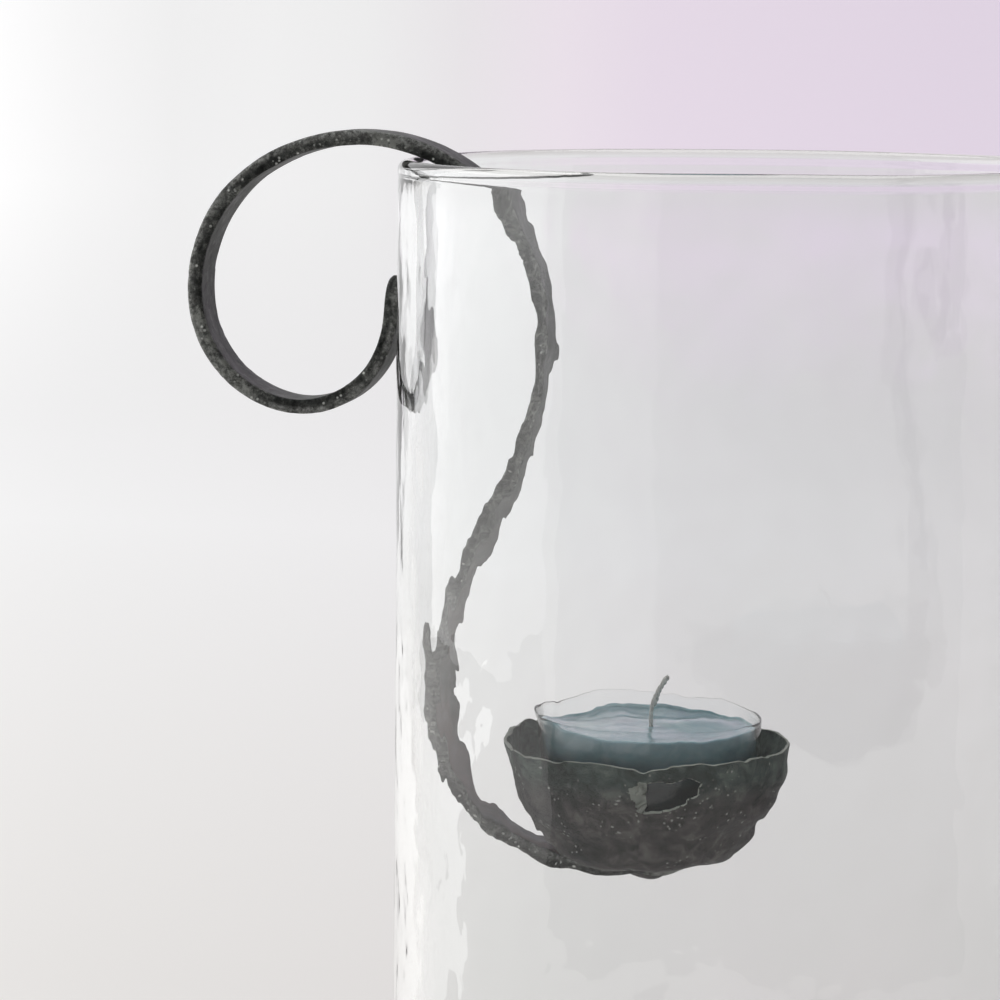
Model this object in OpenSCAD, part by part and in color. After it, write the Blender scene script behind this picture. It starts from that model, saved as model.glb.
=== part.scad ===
// Candle lantern: a hand-blown glass cylinder with a forged iron candle holder
// that hooks over its rim. The holder is one flat iron strap, curled into an open
// loop outside the glass and bent in a double curve inside it, with a thin bowl
// riveted to its lower end and a tealight resting in the bowl.
//
// The glass stands on z = 0 with its axis on Z. The hook lies in the XZ plane, on
// the -X side. All lengths are millimetres.

/* [Glass cylinder] */
// Outer diameter of the cylinder
glass_d = 120; // [110:1:180]
// Height of the cylinder
glass_h = 200; // [150:1:300]
// Wall thickness
glass_wall = 3.5; // [2.5:0.1:3.7]
// Thickness of the rounded rim bead
rim_bead = 3.8; // [3.8:0.05:3.9]
// Thickness of the base
glass_base = 8; // [7:0.5:14]
// Radius of the rounded heel between wall and base
heel_r = 6; // [3.5:0.5:7]

/* [Hook strap] */
// Width of the iron strap
strap_w = 10; // [6:0.5:10]
// Thickness of the iron strap
strap_t = 2.6; // [1.6:0.1:2.6]
// Width of the forged tip of the strap
tip_w = 4; // [2:0.5:5]
// Length over which the strap narrows to its tip
taper_l = 14; // [8:1:16]

/* [Candle bowl] */
// Diameter of the bowl at its lip
bowl_d = 50; // [48:0.5:51]
// Height of the bowl
bowl_h = 20; // [19:0.5:21]
// Wall thickness of the bowl
bowl_wall = 1.2; // [0.8:0.1:1.5]
// Radius of the bowl's flat bottom
bowl_flat_r = 12; // [8:0.5:12.5]
// Width of the torn opening in the side of the bowl
tear_w = 11; // [6:0.5:13]
// Height of the torn opening
tear_h = 5; // [3:0.5:5.5]

/* [Rivet] */
// Diameter of the rivet's shank
rivet_d = 4; // [3:0.1:5]
// Diameter of the rivet's heads
rivet_head_d = 7.2; // [6:0.1:7.6]
// Height of each head
rivet_head_h = 1.4; // [0.8:0.1:1.8]

/* [Tealight] */
// Diameter of the clear cup
cup_d = 38.5; // [37:0.1:39]
// Height of the clear cup
cup_h = 16; // [14:0.5:18]
// Wall thickness of the clear cup
cup_wall = 0.7; // [0.5:0.1:1]
// Depth of the wax surface below the cup's edge
wax_drop = 2.4; // [1:0.1:4]
// Diameter of the wick
wick_d = 1.2; // [1:0.1:2]
// Lean of the wick's free end, in degrees
wick_lean = 38; // [20:1:50]
// Diameter of the wick's metal foot
foot_d = 15; // [12:0.5:17]

/* [Hidden] */
$fn = 180;
cut = 1;             // how far a cutter runs past the surface that it cuts
air = 0.3;           // gap between pieces that move apart
snug = 0.05;         // gap round a piece that is fixed in its hole
turn_step = 4;       // largest turn between two stations of the strap, in degrees

glass_r = glass_d / 2;

// The strap's course from its end under the bowl to its tip outside the glass, as
// seen from -Y. Each stretch is [radius, turn in degrees], anticlockwise positive,
// or [0, length] where it is straight.
STRAP_RUN = [
    [0, 9],          // flat under the bowl
    [38, -27],       // outwards to the glass
    [24, -50],       // elbow that leans on the wall
    [43, -40],       // back towards the middle
    [0, 22.5],       // slope
    [42, 56],        // shoulder
    [29, 26],        // out over the rim
    [32, 69],        // top of the loop
    [25, 65],        // back of the loop
    [19.5, 67],
    [15.5, 86],      // bottom of the loop
    [20.5, 16],      // up along the outside of the glass
    [0, 6.4]         // tip
];

// The holder hangs from the rim, so its places follow the rim's.
end_x = 45.45 - glass_r;         // strap's end under the bowl
bowl_x = 43.5 - glass_r;         // axis of the bowl, the rivet and the tealight
strap_z = glass_h - 122.42;      // underside of the strap below the bowl
tip_x = -glass_r - 1.6;          // middle of the strap at its tip
tip_z = glass_h - 20.5;          // top of the tip

// The bowl's wall is a round arc whose centre lies 1 mm above the lip. Its foot is a
// smaller round that stands out below, where the sheet is folded to a flat bottom.
bowl_z = strap_z + strap_t;
lip_z = bowl_z + bowl_h;
arc_r = bowl_h + 1;
arc_z = bowl_z + arc_r;
arc_x = bowl_d / 2 - sqrt(arc_r * arc_r - 1);
foot_round = 6;                  // outer radius of the round of its foot
tear_z = bowl_z + 15;
tear_angle = -75;                // direction of the tear, from +X

// The tealight sits with the lower edge of its cup on the inside of the bowl.
cup_r = cup_d / 2;
seat_r = arc_r - bowl_wall - air;
cup_z = arc_z - sqrt(seat_r * seat_r - (cup_r - arc_x) * (cup_r - arc_x));
wax_r = cup_r - cup_wall;
wax_z = cup_z + cup_wall;
wax_top = cup_z + cup_h - wax_drop;
foot_t = 0.4;                    // thickness of the wick's foot
collar_d = 3.4;                  // collar of the foot, which grips the wick
collar_h = 3;
wick_straight = 1;               // upright part of the wick above the wax
wick_bend_r = 10;                // radius of its bend
wick_end = 2.5;                  // straight end beyond the bend
wick_lap = 2;                    // how far the bend runs into both, in degrees

// A station on the strap's course is [x, y, heading]. This is the one reached from
// station p along a stretch, or along a part of it.
function station(p, r, turn) =
    let (run = r == 0 ? turn : 2 * r * sin(abs(turn) / 2),
         way = r == 0 ? p[2] : p[2] + turn / 2)
    [p[0] + run * cos(way), p[1] + run * sin(way), r == 0 ? p[2] : p[2] + turn];

// Stations along the stretches from number i on, at most turn_step apart.
function stations(p, i = 0) =
    i == len(STRAP_RUN) ? [p] :
    let (r = STRAP_RUN[i][0],
         turn = STRAP_RUN[i][1],
         steps = r == 0 ? 1 : ceil(abs(turn) / turn_step))
    concat([for (k = [0 : steps - 1]) station(p, r, turn * k / steps)],
           stations(station(p, r, turn), i + 1));

// The strap seen from its edge: its course, thickened to both sides.
module strap_outline() {
    course = stations([0, 0, 180]);
    last = len(course) - 1;
    half = strap_t / 2;
    polygon(concat(
        [for (p = course) [p[0] - half * sin(p[2]), p[1] + half * cos(p[2])]],
        [for (k = [last : -1 : 0])
            let (p = course[k]) [p[0] + half * sin(p[2]), p[1] - half * cos(p[2])]]));
}

// Cutter on one side of the strap that narrows its tip.
module tip_cutter() {
    slant = atan2((strap_w - tip_w) / 2, taper_l);
    translate([tip_x, tip_w / 2, tip_z])
        rotate([slant, 0, 0])
            translate([-6, 0, -taper_l - 2]) cube([12, strap_w, taper_l + 4]);
}

module glass_cylinder() {
    bead_r = rim_bead / 2;
    heel_x = glass_r - heel_r;
    color([0.86, 0.9, 0.92, 0.35])
        rotate_extrude() {
            // wall and rim
            translate([glass_r - glass_wall, heel_r])
                square([glass_wall, glass_h - bead_r - heel_r]);
            translate([glass_r - bead_r, glass_h - bead_r]) circle(r = bead_r, $fn = 48);
            // base and heel
            square([heel_x, glass_base]);
            translate([heel_x - cut, heel_r]) square([heel_r, glass_base - heel_r]);
            intersection() {
                translate([heel_x, heel_r]) circle(r = heel_r, $fn = 96);
                translate([heel_x - cut, 0]) square([heel_r + cut, heel_r]);
            }
        }
}

// The strap at full width all along.
module strap_band(width) {
    translate([end_x, 0, strap_z + strap_t / 2])
        rotate([90, 0, 0]) linear_extrude(width, center = true) strap_outline();
}

module hook_strap() {
    color([0.2, 0.2, 0.2])
        difference() {
            union() {
                strap_band(strap_w);
                // rounded end
                translate([end_x, 0, strap_z]) cylinder(d = strap_w, h = strap_t);
            }
            translate([bowl_x, 0, strap_z - cut])
                cylinder(d = rivet_d + 2 * snug, h = strap_t + 2 * cut);
            tip_cutter();
            mirror([0, 1, 0]) tip_cutter();
        }
}

// Half section of the filled bowl, drawn in from its outside by inset.
module bowl_section(inset) {
    // round wall
    translate([arc_x, arc_z]) circle(r = arc_r - inset);
    translate([0, bowl_z + inset]) square([arc_x, bowl_h]);
    // foot
    translate([bowl_flat_r, bowl_z + foot_round]) circle(r = foot_round - inset);
    translate([0, bowl_z + inset]) square([bowl_flat_r, foot_round]);
}

module candle_bowl() {
    color([0.24, 0.25, 0.24])
        difference() {
            translate([bowl_x, 0, 0])
                rotate_extrude()
                    intersection() {
                        difference() {
                            bowl_section(0);
                            bowl_section(bowl_wall);
                        }
                        translate([0, bowl_z]) square([bowl_d, bowl_h]);
                    }
            // the foot is dished where the rising strap passes under it
            strap_band(strap_w + 2 * snug);
            // hole for the rivet
            translate([bowl_x, 0, bowl_z - cut])
                cylinder(d = rivet_d + 2 * snug, h = bowl_wall + 2 * cut);
            // tear in the side
            translate([bowl_x, 0, 0])
                rotate([0, 0, tear_angle]) {
                    translate([0, -(tear_w - tear_h) / 2, tear_z - tear_h / 2])
                        cube([bowl_d, tear_w - tear_h, tear_h]);
                    for (side = [-1, 1])
                        translate([0, side * (tear_w - tear_h) / 2, tear_z])
                            rotate([0, 90, 0]) cylinder(d = tear_h, h = bowl_d);
                }
        }
}

// Shank with a low domed head at each end.
module bowl_rivet() {
    head_r = rivet_head_d / 2;
    dome_r = (head_r * head_r + rivet_head_h * rivet_head_h) / (2 * rivet_head_h);
    grip = strap_t + bowl_wall;
    color([0.28, 0.28, 0.27])
        translate([bowl_x, 0, strap_z])
            rotate_extrude() {
                square([rivet_d / 2, grip]);
                intersection() {
                    translate([0, grip + rivet_head_h - dome_r]) circle(r = dome_r);
                    translate([0, grip]) square([head_r, rivet_head_h]);
                }
                intersection() {
                    translate([0, dome_r - rivet_head_h]) circle(r = dome_r);
                    translate([0, -rivet_head_h]) square([head_r, rivet_head_h]);
                }
            }
}

module tealight_cup() {
    color([0.9, 0.92, 0.93, 0.4])
        translate([bowl_x, 0, cup_z])
            difference() {
                cylinder(r = cup_r, h = cup_h);
                translate([0, 0, cup_wall]) cylinder(r = wax_r, h = cup_h);
            }
}

module wax() {
    wick_hole = wick_d + 2 * snug;
    color([0.45, 0.56, 0.6])
        translate([bowl_x, 0, 0])
            difference() {
                translate([0, 0, wax_z]) cylinder(r = wax_r, h = wax_top - wax_z);
                // room for the wick, its foot and the collar
                translate([0, 0, wax_z]) cylinder(d = wick_hole, h = cup_h);
                translate([0, 0, wax_z - cut])
                    cylinder(d = foot_d + 2 * snug, h = foot_t + snug + cut);
                translate([0, 0, wax_z])
                    cylinder(d = collar_d + 2 * snug, h = foot_t + collar_h + snug);
            }
}

module wick() {
    start_z = wax_z + foot_t + snug;
    bend_z = wax_top + wick_straight;
    color([0.72, 0.72, 0.7])
        translate([bowl_x, 0, 0]) {
            translate([0, 0, start_z])
                cylinder(d = wick_d, h = bend_z - start_z, $fn = 32);
            // bend towards +X, a little thinner, then the straight end
            translate([wick_bend_r, 0, bend_z])
                rotate([90, 0, 0])
                    rotate([0, 0, 180 - wick_lean - wick_lap])
                        rotate_extrude(angle = wick_lean + 2 * wick_lap)
                            translate([wick_bend_r, 0])
                                circle(d = wick_d - 2 * snug, $fn = 32);
            translate([wick_bend_r, 0, bend_z])
                rotate([0, wick_lean, 0])
                    translate([-wick_bend_r, 0, 0])
                        cylinder(d = wick_d, h = wick_end, $fn = 32);
        }
}

module wick_foot() {
    color([0.75, 0.75, 0.76])
        translate([bowl_x, 0, wax_z])
            difference() {
                union() {
                    cylinder(d = foot_d, h = foot_t);
                    translate([0, 0, foot_t]) cylinder(d = collar_d, h = collar_h);
                }
                translate([0, 0, foot_t])
                    cylinder(d = wick_d + 2 * snug, h = collar_h + cut, $fn = 48);
            }
}

glass_cylinder();
hook_strap();
candle_bowl();
bowl_rivet();
tealight_cup();
wax();
wick();
wick_foot();
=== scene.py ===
"""Candle lantern: the looks of a rippled glass cylinder with a forged iron candle
holder over its rim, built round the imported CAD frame.

Shapes are worked out in millimetres and turned into metres when a mesh is made.
"""

import math

import bmesh
import bpy
import numpy as np
from mathutils import Matrix, Vector


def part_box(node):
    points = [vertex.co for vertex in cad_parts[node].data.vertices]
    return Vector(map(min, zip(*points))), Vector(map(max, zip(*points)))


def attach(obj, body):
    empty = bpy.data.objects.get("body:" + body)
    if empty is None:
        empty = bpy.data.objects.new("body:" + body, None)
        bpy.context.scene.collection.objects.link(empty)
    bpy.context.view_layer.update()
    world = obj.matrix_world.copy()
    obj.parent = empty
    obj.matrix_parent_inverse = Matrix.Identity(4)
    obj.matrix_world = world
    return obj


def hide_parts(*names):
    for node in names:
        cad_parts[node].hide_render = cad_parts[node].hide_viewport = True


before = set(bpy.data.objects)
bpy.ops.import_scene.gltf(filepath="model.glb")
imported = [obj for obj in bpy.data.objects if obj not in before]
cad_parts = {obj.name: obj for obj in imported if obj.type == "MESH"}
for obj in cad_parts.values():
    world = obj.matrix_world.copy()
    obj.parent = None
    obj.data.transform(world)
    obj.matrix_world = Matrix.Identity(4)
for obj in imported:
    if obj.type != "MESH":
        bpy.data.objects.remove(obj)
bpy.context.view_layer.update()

MM = 0.001                # metres in a millimetre


def box_mm(node):
    """Lowest and highest corner of a CAD node, in millimetres."""
    low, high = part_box(node)
    return np.array(low) / MM, np.array(high) / MM


# ---------------------------------------------------------------- helpers: numbers

def smooth(x, low, high):
    """0 below low, 1 above high, and a smooth step between."""
    t = np.clip((x - low) / (high - low), 0.0, 1.0)
    return t * t * (3.0 - 2.0 * t)


def lattice_noise(points, cell, seed):
    """Smooth random field at points (n, 3), mostly within -1 to 1. cell is the spacing of
    its lattice per axis."""
    side = 64                 # random values per axis, before they repeat
    offset, gain = 1000.5, 3.5
    table = np.random.default_rng(seed).uniform(-1.0, 1.0, (side, side, side))
    q = np.asarray(points, float) / np.asarray(cell, float) + offset
    base = np.floor(q).astype(int)
    f = q - base
    weight = np.stack([
        (1 - f) ** 3 / 6,
        (3 * f ** 3 - 6 * f ** 2 + 4) / 6,
        (-3 * f ** 3 + 3 * f ** 2 + 3 * f + 1) / 6,
        f ** 3 / 6], axis=0)
    total = np.zeros(len(q))
    for a in range(4):
        for b in range(4):
            for c in range(4):
                value = table[(base[:, 0] + a) % side, (base[:, 1] + b) % side,
                              (base[:, 2] + c) % side]
                total += weight[a, :, 0] * weight[b, :, 1] * weight[c, :, 2] * value
    return total * gain


def waves(at, *layers):
    """Sum of noise fields, each given as (depth, cell, seed)."""
    return sum(depth * lattice_noise(at, cell, seed) for depth, cell, seed in layers)


def on_ring(r, z, angle, centre=(0.0, 0.0)):
    """Points at radius r, height z and the given angles, as an array (n, 3)."""
    return np.stack([centre[0] + r * np.cos(angle), centre[1] + r * np.sin(angle), z], 1)


def rings(profile, columns):
    """Radius, height and angle of the points of a turned profile, row by row."""
    turn = np.linspace(0.0, 2 * math.pi, columns, endpoint=False)
    profile = np.asarray(profile, float)
    return (np.repeat(profile[:, 0], columns), np.repeat(profile[:, 1], columns),
            np.tile(turn, len(profile)))


def turned_from(middle, angle):
    """Angle counted from the middle one, between -pi and pi."""
    return (angle - middle + math.pi) % (2 * math.pi) - math.pi


def arc(centre, radius, first, last, steps):
    """Points on a round arc in the profile plane, angles in degrees."""
    turn = np.radians(np.linspace(first, last, steps))
    return [(centre[0] + radius * math.cos(a), centre[1] + radius * math.sin(a)) for a in turn]


# ---------------------------------------------------------------- helpers: meshes

def grid_faces(rows, columns, first=0):
    """Quads of a grid stored row by row, whose last column joins its first one."""
    faces = []
    for i in range(rows - 1):
        low, high = first + i * columns, first + (i + 1) * columns
        for j in range(columns):
            k = (j + 1) % columns
            faces.append((low + j, low + k, high + k, high + j))
    return faces


def fan_faces(centre, ring, flip):
    """Triangles from one point to a closed ring of points."""
    faces = []
    for j, a in enumerate(ring):
        b = ring[(j + 1) % len(ring)]
        faces.append((centre, b, a) if flip else (centre, a, b))
    return faces


def tube(points, around, ends):
    """Points and faces of a tube of rings, closed by fans to its two end points."""
    count = len(points)
    faces = grid_faces(count // around, around)
    faces += fan_faces(count, list(range(around)), True)
    faces += fan_faces(count + 1, list(range(count - around, count)), False)
    return np.vstack([points, ends]), faces


def revolve(profile, columns, shape, centre=(0.0, 0.0)):
    """Closed solid of revolution. The profile starts and ends on the axis, and runs
    anticlockwise seen with the axis on the left. shape moves the points of its rings,
    given their radius, height, angle and row."""
    r, z, angle = rings(profile[1:-1], columns)
    row = np.repeat(np.arange(1, len(profile) - 1), columns)
    r, z = shape(r, z, angle, row)
    poles = [(*centre, profile[0][1]), (*centre, profile[-1][1])]
    return tube(on_ring(r, z, angle, centre), columns, poles)


def make_mesh(name, points, faces, outward=True):
    """A smooth-shaded mesh object from points in millimetres. outward turns its faces
    to the outside."""
    mesh = bpy.data.meshes.new(name)
    mesh.from_pydata((np.asarray(points) * MM).tolist(), [], faces)
    mesh.update()
    if outward:
        bm = bmesh.new()
        bm.from_mesh(mesh)
        bmesh.ops.recalc_face_normals(bm, faces=bm.faces)
        bm.to_mesh(mesh)
        bm.free()
    for polygon in mesh.polygons:
        polygon.use_smooth = True
    piece = bpy.data.objects.new(name, mesh)
    bpy.context.scene.collection.objects.link(piece)
    return piece


def add_attribute(piece, name, values):
    """A number for each point, which the piece's material reads by name."""
    layer = piece.data.attributes.new(name, "FLOAT", "POINT")
    layer.data.foreach_set("value", np.asarray(values, np.float32))


def place(piece, material, body, slot, *nodes):
    """Dresses a piece, ties it to its body and hides the CAD nodes it stands in for. slot is
    not used.
    """
    piece.data.materials.append(material)
    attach(piece, body)
    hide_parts(*nodes)


# ---------------------------------------------------------------- helpers: materials

class Shader:
    """A material under construction. Coordinates are the object's own, in metres."""

    def __init__(self, name):
        self.material = bpy.data.materials.new(name)
        self.material.use_nodes = True
        self.tree = self.material.node_tree
        self.bsdf = self.tree.nodes["Principled BSDF"]
        self.place = self.add("ShaderNodeTexCoord").outputs["Object"]

    def add(self, kind, **values):
        """A new node with the given properties."""
        made = self.tree.nodes.new(kind)
        for key, value in values.items():
            setattr(made, key, value)
        return made

    def link(self, source, target):
        self.tree.links.new(source, target)

    def set(self, **values):
        """Uniform values on the shader's own sockets. An underscore stands for a space."""
        for key, value in values.items():
            self.bsdf.inputs[key.replace("_", " ")].default_value = value

    def axis(self, name):
        """The X, Y or Z coordinate."""
        split = self.add("ShaderNodeSeparateXYZ")
        self.link(self.place, split.inputs["Vector"])
        return split.outputs[name]

    def stretched(self, scale):
        """Coordinates with a scale per axis."""
        mapping = self.add("ShaderNodeMapping")
        mapping.inputs["Scale"].default_value = scale
        self.link(self.place, mapping.inputs["Vector"])
        return mapping.outputs["Vector"]

    def noise(self, scale, detail=4.0, roughness=0.55, distortion=0.0, vector=None):
        made = self.add("ShaderNodeTexNoise")
        made.inputs["Scale"].default_value = scale
        made.inputs["Detail"].default_value = detail
        made.inputs["Roughness"].default_value = roughness
        made.inputs["Distortion"].default_value = distortion
        self.link(vector or self.place, made.inputs["Vector"])
        return made.outputs["Fac"]

    def cells(self, scale):
        """Distance to the nearest of randomly spread points."""
        made = self.add("ShaderNodeTexVoronoi")
        made.inputs["Scale"].default_value = scale
        self.link(self.place, made.inputs["Vector"])
        return made.outputs["Distance"]

    def attribute(self, name):
        return self.add("ShaderNodeAttribute", attribute_name=name).outputs["Fac"]

    def ramp(self, fac, *stops):
        """stops are (position, colour) or (position, number)."""
        made = self.add("ShaderNodeValToRGB")
        points = made.color_ramp.elements
        while len(points) < len(stops):
            points.new(0.5)
        for point, (position, colour) in zip(points, stops):
            point.position = position
            if not isinstance(colour, (tuple, list)):
                colour = (colour, colour, colour)
            point.color = (*colour, 1.0)
        self.link(fac, made.inputs["Fac"])
        return made.outputs["Color"]

    def mix(self, fac, first, second, blend="MIX"):
        made = self.add("ShaderNodeMix", data_type="RGBA", blend_type=blend)
        # inputs 6 and 7 and output 2 are the node's colours, the others are numbers
        for socket, value in ((made.inputs[0], fac), (made.inputs[6], first),
                              (made.inputs[7], second)):
            if isinstance(value, bpy.types.NodeSocket):
                self.link(value, socket)
            elif isinstance(value, (tuple, list)):
                socket.default_value = (*value, 1.0)
            else:
                socket.default_value = value
        return made.outputs[2]

    def math(self, operation, first, second):
        made = self.add("ShaderNodeMath", operation=operation)
        for socket, value in zip(made.inputs, (first, second)):
            if isinstance(value, bpy.types.NodeSocket):
                self.link(value, socket)
            else:
                socket.default_value = value
        return made.outputs[0]

    def centred(self, fac, gain):
        """A value round 0.5 turned into one round 0, gain times as large."""
        return self.math("MULTIPLY", self.math("SUBTRACT", fac, 0.5), gain)

    def bump(self, height, distance, strength=1.0, before=None):
        """A bumpy normal, on top of the normal before if there is one."""
        made = self.add("ShaderNodeBump")
        made.inputs["Strength"].default_value = strength
        made.inputs["Distance"].default_value = distance
        self.link(height, made.inputs["Height"])
        if before is not None:
            self.link(before, made.inputs["Normal"])
        return made.outputs["Normal"]

    def finish(self, colour, roughness, normal):
        """Links the maps and returns the material. None leaves the shader's own value."""
        for source, name in ((colour, "Base Color"), (roughness, "Roughness"),
                             (normal, "Normal")):
            if source is not None:
                self.link(source, self.bsdf.inputs[name])
        return self.material


def clear_glass_material():
    s = Shader("clear_glass")
    s.set(Transmission_Weight=1.0, IOR=1.5, Roughness=0.0)
    tint = s.ramp(s.noise(18.0, 2.0), (0.3, (0.965, 0.98, 0.975)), (0.7, (0.985, 0.99, 0.99)))
    hammered = s.noise(1.0, 0.6, vector=s.stretched((330.0, 330.0, 240.0)))
    return s.finish(tint, None, s.bump(hammered, 0.00003))


def scale_colours(s, blotches, drift):
    """Forge scale: black where it has flaked off, grey to pale grey where it is thick."""
    patchy = s.math("ADD", blotches, s.centred(drift, 0.9))
    return s.ramp(patchy, (0.38, (0.004, 0.004, 0.004)), (0.44, (0.024, 0.024, 0.023)),
                  (0.52, (0.065, 0.066, 0.062)), (0.59, (0.16, 0.163, 0.152)),
                  (0.68, (0.36, 0.365, 0.34)))


def speck_mask(s, size, rarity):
    """Small bright grains, in clusters: size cells per metre, and fewer clusters with a
    higher rarity."""
    return s.math("MULTIPLY", s.ramp(s.cells(size), (0.14, 1.0), (0.28, 0.0)),
                  s.ramp(s.noise(260.0, 2.0), (rarity, 0.0), (rarity + 0.06, 1.0)))


def forged_iron_material():
    """Forge-black strap: dark flats with scuffs, hollows and a little rust low down, and edges
    with grey scale, pits and specks, with a painted highlight along the outside of the loop,
    broken up like wear."""
    s = Shader("forged_iron")
    s.set(IOR=1.5, Specular_IOR_Level=0.45, Specular_Tint=(0.94, 1.0, 0.94, 1.0))
    blotches = s.noise(800.0, 8.0, 0.8, 0.2)
    drift = s.noise(95.0, 3.0)
    grain = s.noise(1500.0, 4.0, 0.65)
    dark = s.ramp(s.noise(150.0, 6.0, 0.65), (0.35, (0.017, 0.021, 0.017)),
                  (0.65, (0.042, 0.049, 0.042)))
    scuffs = s.ramp(s.noise(800.0, 6.0, 0.7), (0.5, 0.0), (0.64, 0.7))
    hollows = s.ramp(s.noise(430.0, 6.0, 0.7, 0.4), (0.38, 0.85), (0.46, 0.0))
    dark = s.mix(hollows, s.mix(scuffs, dark, (0.11, 0.11, 0.105)), (0.005, 0.005, 0.005))
    low_down = s.ramp(s.axis("Z"), (0.1, 1.0), (0.145, 0.0))
    rust = s.math("MULTIPLY", low_down, s.ramp(s.noise(60.0, 4.0), (0.4, 0.0), (0.55, 0.85)))
    flat = s.mix(rust, dark, (0.075, 0.022, 0.016))
    creep = s.math("ADD", s.attribute("edge"), s.centred(s.noise(700.0, 3.0), 1.3))
    edge = s.ramp(creep, (0.42, 0.0), (0.5, 1.0))
    border = s.ramp(creep, (0.25, 1.0), (0.38, 0.3), (0.5, 0.2), (0.64, 1.0))
    scale = s.mix(speck_mask(s, 900.0, 0.5), scale_colours(s, blotches, drift),
                  (0.85, 0.86, 0.82))
    # painted highlight: a pale band on the edge faces along the outside of the loop, where
    # light falls, broken up by noise
    wear_and_painted_highlight = s.math("MULTIPLY", s.attribute("outer"),
                  s.ramp(s.noise(240.0, 5.0, 0.7), (0.4, 0.15), (0.53, 0.95)))
    painted_highlight_colour = s.ramp(s.noise(1300.0, 6.0, 0.75), (0.38, (0.06, 0.06, 0.057)),
                         (0.5, (0.23, 0.232, 0.222)), (0.62, (0.5, 0.505, 0.485)))
    scale = s.mix(wear_and_painted_highlight, scale, painted_highlight_colour)
    colour = s.mix(1.0, s.mix(edge, flat, scale), border, "MULTIPLY")
    rough = s.mix(edge, s.ramp(s.noise(300.0, 4.0), (0.3, 0.42), (0.7, 0.6)),
                  s.ramp(grain, (0.3, 0.45), (0.7, 0.8)))
    dents = s.bump(s.noise(210.0, 3.0), 0.0004, 0.6)
    pits = s.bump(s.math("MULTIPLY", blotches, edge), 0.0006, 0.9, dents)
    return s.finish(colour, rough, s.bump(grain, 0.00008, 0.7, pits))


def hammered_iron_material():
    """Thin sheet of the bowl: brown-grey outside, green-grey inside and by the lip,
    bare along its cut edge and on the torn flap."""
    s = Shader("hammered_iron")
    s.set(IOR=1.5, Specular_IOR_Level=0.35)
    blotches = s.noise(300.0, 5.0, 0.65, 0.6)
    drift = s.noise(80.0, 3.0)
    grain = s.noise(1300.0, 4.0, 0.65)
    patchy = s.math("ADD", blotches, s.centred(drift, 0.8))
    outer = s.ramp(patchy, (0.34, (0.008, 0.008, 0.008)), (0.46, (0.028, 0.025, 0.024)),
                   (0.56, (0.054, 0.048, 0.046)), (0.7, (0.12, 0.11, 0.105)))
    green = s.ramp(patchy, (0.34, (0.011, 0.019, 0.016)), (0.5, (0.038, 0.062, 0.053)),
                   (0.68, (0.1, 0.135, 0.117)))
    near_lip = s.mix(s.ramp(s.attribute("lip"), (0.0, 0.0), (0.7, 0.85)), outer, green)
    walls = s.mix(s.attribute("inside"), near_lip, green)
    dotted = s.mix(speck_mask(s, 1000.0, 0.54), walls, (0.33, 0.33, 0.31))
    bare = s.ramp(s.noise(420.0, 4.0), (0.35, (0.27, 0.29, 0.26)), (0.55, (0.33, 0.35, 0.31)),
                  (0.7, (0.42, 0.44, 0.4)))
    # on the bowl this mask is only wear: bare metal along the cut edges and the tear
    wear_and_painted_highlight = s.ramp(s.math("ADD", s.attribute("bare"), s.centred(grain, 0.5)),
                  (0.5, 0.0), (0.62, 1.0))
    colour = s.mix(wear_and_painted_highlight, dotted, bare)
    rough = s.ramp(grain, (0.3, 0.45), (0.7, 0.75))
    dents = s.bump(s.noise(230.0, 3.0), 0.0005, 0.6)
    pits = s.bump(blotches, 0.0004, 0.6, dents)
    return s.finish(colour, rough, s.bump(grain, 0.0001, 0.7, pits))


def rivet_iron_material():
    s = Shader("rivet_iron")
    s.set(Metallic=0.6, IOR=1.6)
    colour = s.ramp(s.noise(500.0, 5.0), (0.35, (0.03, 0.03, 0.029)), (0.7, (0.11, 0.108, 0.1)))
    rough = s.ramp(s.noise(900.0, 3.0), (0.3, 0.35), (0.7, 0.6))
    return s.finish(colour, rough, s.bump(s.noise(700.0, 3.0), 0.0003, 0.7))


def clear_cup_material():
    s = Shader("clear_cup")
    s.set(Transmission_Weight=1.0, IOR=1.3, Roughness=0.02)
    tint = s.ramp(s.noise(60.0, 2.0), (0.3, (0.95, 0.965, 0.975)), (0.7, (0.985, 0.99, 0.995)))
    flow = s.noise(1.0, 2.0, vector=s.stretched((300.0, 300.0, 60.0)))
    return s.finish(tint, None, s.bump(flow, 0.00002))


def wax_material():
    """Blue-grey wax: pale and clouded on top. Below that a painted shade makes it darker the
    deeper it lies in the cup, down to near black.
    """
    s = Shader("candle_wax")
    s.set(Subsurface_Weight=0.5, Subsurface_Scale=0.0015, Subsurface_Radius=(0.6, 0.9, 1.0),
          IOR=1.44)
    clouds = s.noise(120.0, 4.0, 0.6, 0.4)
    pale = s.ramp(clouds, (0.3, (0.16, 0.28, 0.32)), (0.5, (0.28, 0.44, 0.48)),
                  (0.7, (0.48, 0.62, 0.66)))
    # painted shade: from 2 mm below its top the wax's side fades to dark blue-grey, and from 5
    # to 7.5 mm down to about a third of that
    painted_shade_wax_colour = s.ramp(clouds, (0.3, (0.03, 0.055, 0.065)), (0.7, (0.055, 0.09, 0.105)))
    top = box_mm("wax")[1][2] * MM
    centimetres_down = s.math("MULTIPLY", s.math("SUBTRACT", top, s.axis("Z")), 100.0)
    sunk = s.math("ADD", centimetres_down, s.centred(clouds, 0.3))
    painted_shade_wax = s.mix(1.0, painted_shade_wax_colour, s.ramp(sunk, (0.5, 1.0), (0.75, 0.3)), "MULTIPLY")
    colour = s.mix(s.ramp(sunk, (0.2, 0.0), (0.5, 1.0)), pale, painted_shade_wax)
    rough = s.ramp(s.noise(400.0, 3.0), (0.3, 0.1), (0.7, 0.22))
    return s.finish(colour, rough, s.bump(s.noise(350.0, 3.0), 0.0001, 0.4))


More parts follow.
